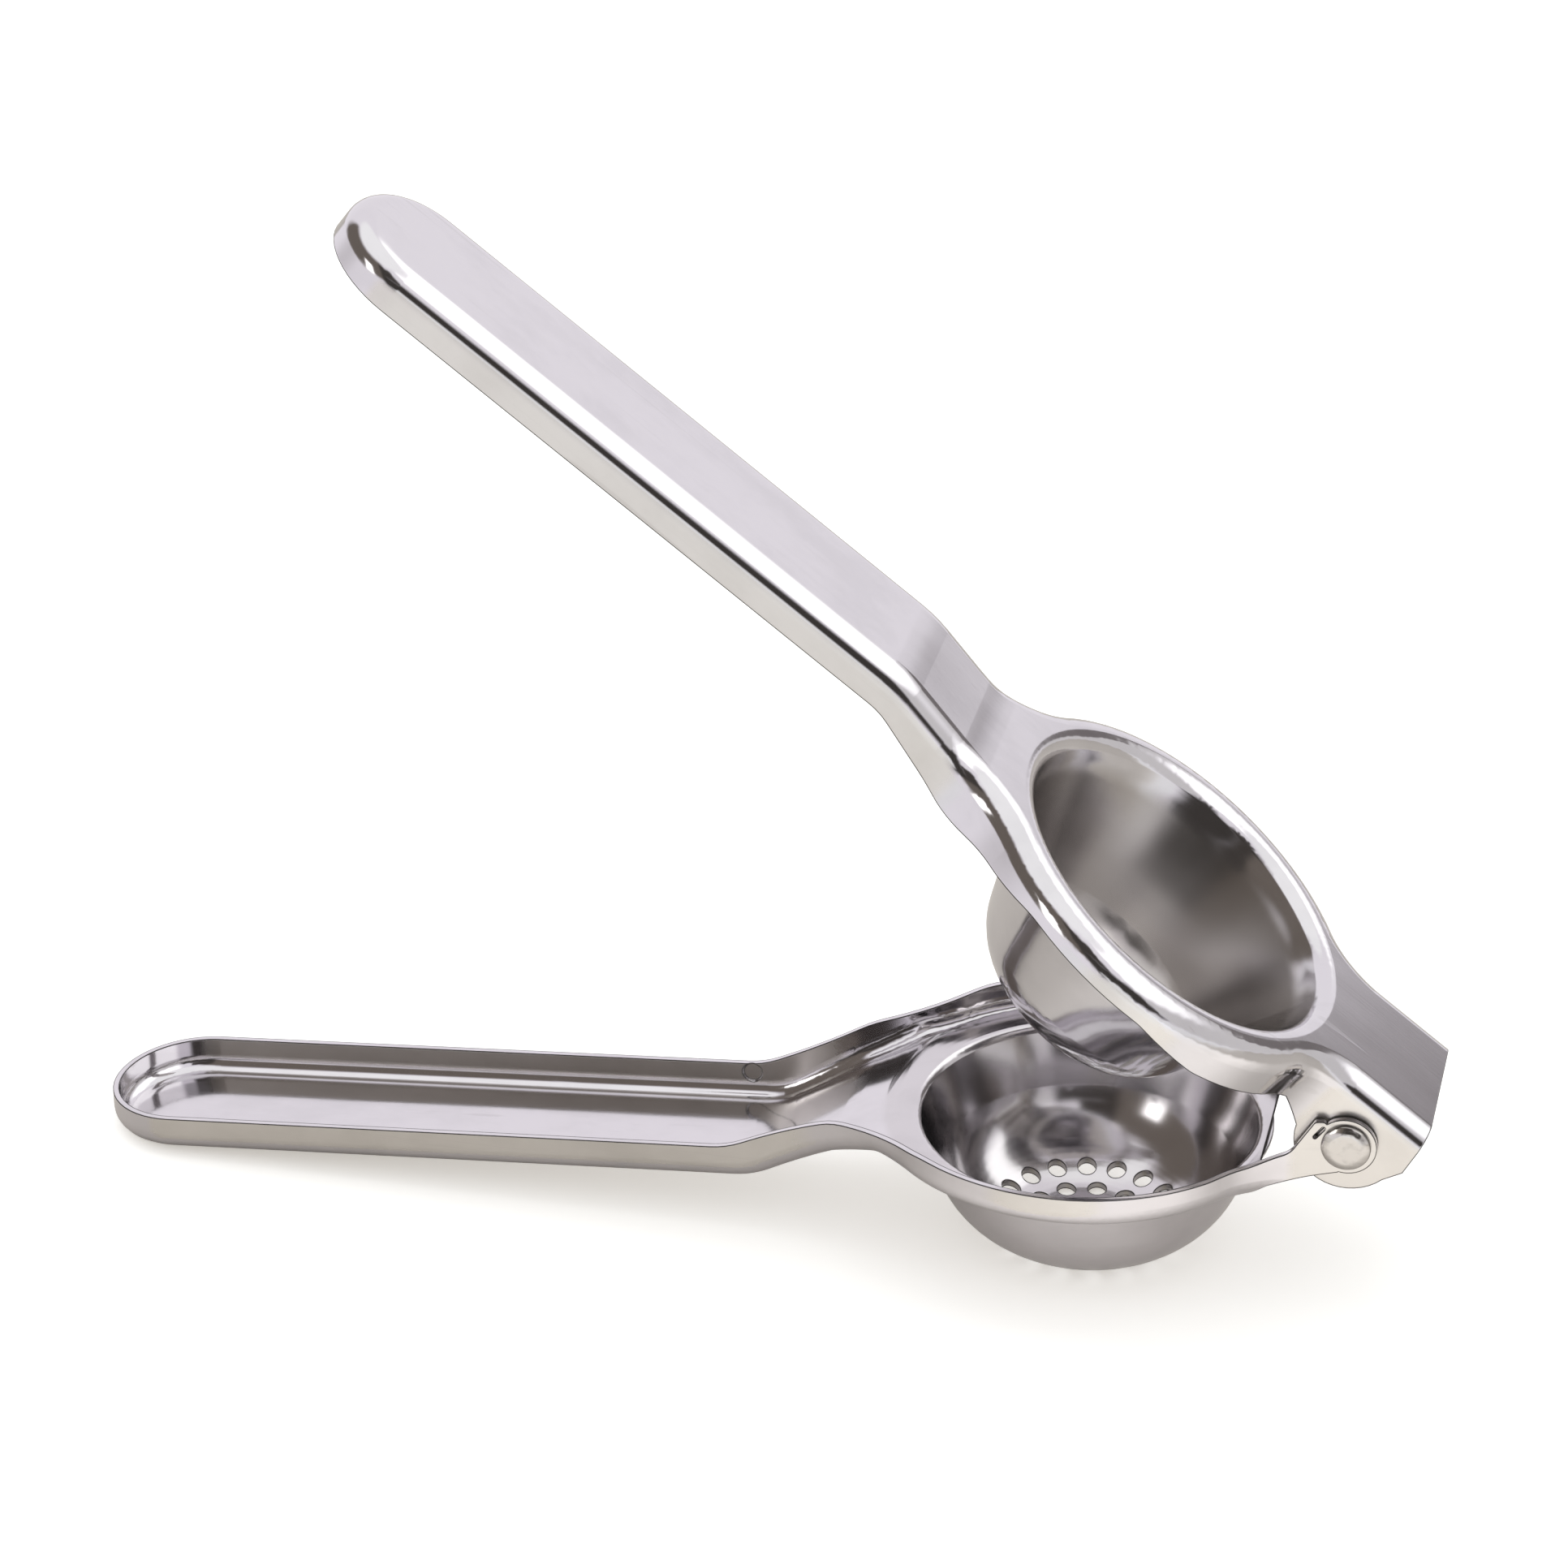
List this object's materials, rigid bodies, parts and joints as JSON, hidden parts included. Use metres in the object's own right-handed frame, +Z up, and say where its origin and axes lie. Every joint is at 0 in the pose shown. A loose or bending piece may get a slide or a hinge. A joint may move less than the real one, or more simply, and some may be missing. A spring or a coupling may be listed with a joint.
{
  "type": "hinged lemon squeezer",
  "caption": "Hinged hand press in stainless sheet: a strainer bowl on the lower arm and a press cup on the upper arm, joined by a rivet.",
  "frame": {"origin": "centre of the strainer bowl's flat bottom, on the table plane", "axes": "+X along the arms from the handles to the hinge, +Y sideways along the rivet, +Z up"},
  "size_m": [0.2167, 0.069, 0.1637],
  "materials": {
    "lower_steel": "polished",
    "upper_steel": "polished",
    "rivet_steel": "polished"
  },
  "bodies": {
    "lower": {"lower_arm": "lower_steel", "hinge_rivet": "rivet_steel"},
    "upper": {"upper_arm": "upper_steel"}
  },
  "joints": [
    {"name": "arm_hinge", "type": "hinge", "parent": "lower", "child": "upper", "pos_m": [0.0418, 0, 0.0306], "axis": [0, 1, 0], "range_deg": [-42.2, 142.7]}
  ]
}
